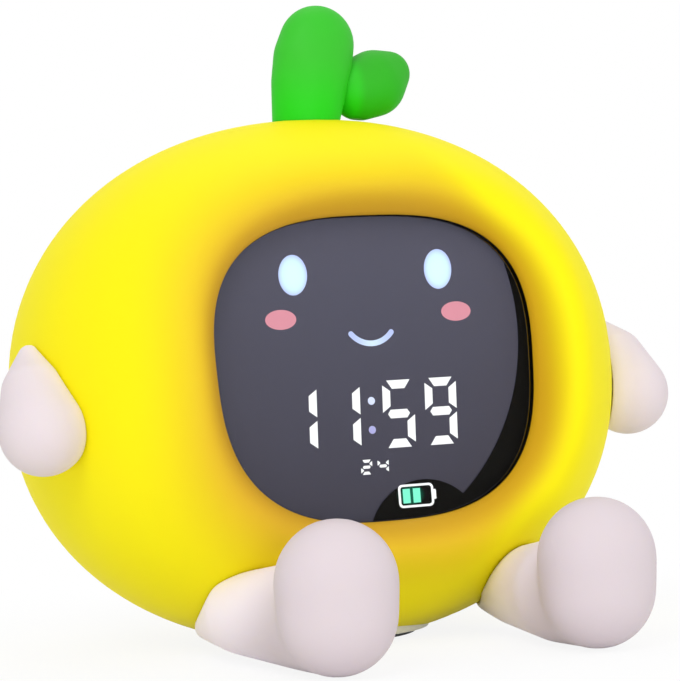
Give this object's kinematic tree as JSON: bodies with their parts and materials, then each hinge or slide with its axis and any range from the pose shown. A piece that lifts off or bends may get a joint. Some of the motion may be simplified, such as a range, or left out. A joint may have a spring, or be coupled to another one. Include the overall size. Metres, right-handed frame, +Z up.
{
  "type": "alarm clock",
  "caption": "Round silicone alarm clock with night light: fruit-shaped body on arms and legs, leaning smoked display with a lit face and time, press-down leaf sprout, keys on the back.",
  "frame": {"origin": "centre of the round rubber pad's underside, on the table", "axes": "+Z up, the display faces -Y, +X to the right as seen by someone who faces the display"},
  "size_m": [0.151, 0.1241, 0.1334],
  "materials": {
    "yellow_silicone": "matt soft-touch silicone, slightly translucent",
    "pink_silicone": "matt soft-touch silicone",
    "green_silicone": "matt soft-touch silicone",
    "yellow_plastic": "fine matt moulding",
    "white_plastic": "plain moulding",
    "black_plastic": "plain moulding",
    "key_white": "fine matt moulding",
    "smoked_lens": "clear smoked acrylic, polished",
    "black_film": "printed black",
    "panel_grey": "printed dark grey",
    "unlit_bar": "printed dark grey",
    "board_green": "solder mask",
    "steel": "plated",
    "led_cream": "moulded package",
    "speaker_black": "treated paper",
    "cell_blue": "shrink sleeve",
    "diffuser_white": "milky, frosted",
    "dark_rubber": "matt anti-slip rubber",
    "white_light": "translucent window, lit from behind",
    "eye_light": "translucent window, lit from behind",
    "cheek_light": "translucent window, lit from behind",
    "smile_light": "translucent window, lit from behind",
    "mint_light": "translucent window, lit from behind"
  },
  "bodies": {
    "clock": {"body_skin": "yellow_silicone", "left_arm": "pink_silicone", "right_arm": "pink_silicone", "left_leg": "pink_silicone", "right_leg": "pink_silicone", "sprout_spring": "steel", "sprout_guide": "white_plastic", "sprout_board": "board_green", "sprout_switch": "black_plastic", "front_shell": "white_plastic", "rear_shell": "white_plastic", "display_holder": "black_plastic", "smoked_lens": "smoked_lens", "mask_film": "black_film", "screen_panel": "panel_grey", "eye_lights": "eye_light", "cheek_lights": "cheek_light", "smile_light": "smile_light", "time_lights": "white_light", "unlit_bars": "unlit_bar", "colon_lights": "white_light", "day_lights": "white_light", "battery_sign": "white_light", "battery_bars": "mint_light", "light_block": "white_plastic", "display_board": "board_green", "display_leds": "led_cream", "rear_cover": "yellow_plastic", "slide_switch": "steel", "key_switches": "black_plastic", "main_board": "board_green", "usb_socket": "steel", "speaker_frame": "steel", "speaker_cone": "speaker_black", "speaker_magnet": "steel", "board_chips": "black_plastic", "battery_cell": "cell_blue", "cell_cradle": "white_plastic", "light_board": "board_green", "night_leds": "led_cream", "light_diffuser": "diffuser_white", "base_plate": "white_plastic", "base_pad": "dark_rubber", "cover_screws": "steel", "shell_screws": "steel", "holder_screws": "steel", "board_screws": "steel", "cradle_screws": "steel", "base_screws": "steel", "guide_screws": "steel"},
    "sprout": {"big_leaf": "green_silicone", "small_leaf": "green_silicone", "sprout_plunger": "white_plastic"},
    "mode_button": {"mode_key": "key_white"},
    "down_button": {"down_key": "key_white"},
    "set_button": {"set_key": "key_white"},
    "up_button": {"up_key": "key_white"},
    "light_button": {"light_key": "key_white"},
    "slide_button": {"slide_knob": "key_white"}
  },
  "joints": [
    {"name": "sprout_press", "type": "slide", "parent": "clock", "child": "sprout", "axis": [0, 0, -1], "range_m": [0, 0.0008], "stiffness_N_per_m": 600, "springref_m": -0.001, "deforming": ["sprout_spring"]},
    {"name": "mode_press", "type": "slide", "parent": "clock", "child": "mode_button", "axis": [0, -1, 0], "range_m": [0, 0.0008], "stiffness_N_per_m": 400, "springref_m": -0.0005},
    {"name": "down_press", "type": "slide", "parent": "clock", "child": "down_button", "axis": [0, -1, 0], "range_m": [0, 0.0008], "stiffness_N_per_m": 400, "springref_m": -0.0005},
    {"name": "set_press", "type": "slide", "parent": "clock", "child": "set_button", "axis": [0, -1, 0], "range_m": [0, 0.0008], "stiffness_N_per_m": 400, "springref_m": -0.0005},
    {"name": "up_press", "type": "slide", "parent": "clock", "child": "up_button", "axis": [0, -1, 0], "range_m": [0, 0.0008], "stiffness_N_per_m": 400, "springref_m": -0.0005},
    {"name": "light_press", "type": "slide", "parent": "clock", "child": "light_button", "axis": [0, -1, 0], "range_m": [0, 0.0008], "stiffness_N_per_m": 400, "springref_m": -0.0005},
    {"name": "mode_slide", "type": "slide", "parent": "clock", "child": "slide_button", "axis": [1, 0, 0], "range_m": [-0.002, 0.002]}
  ]
}
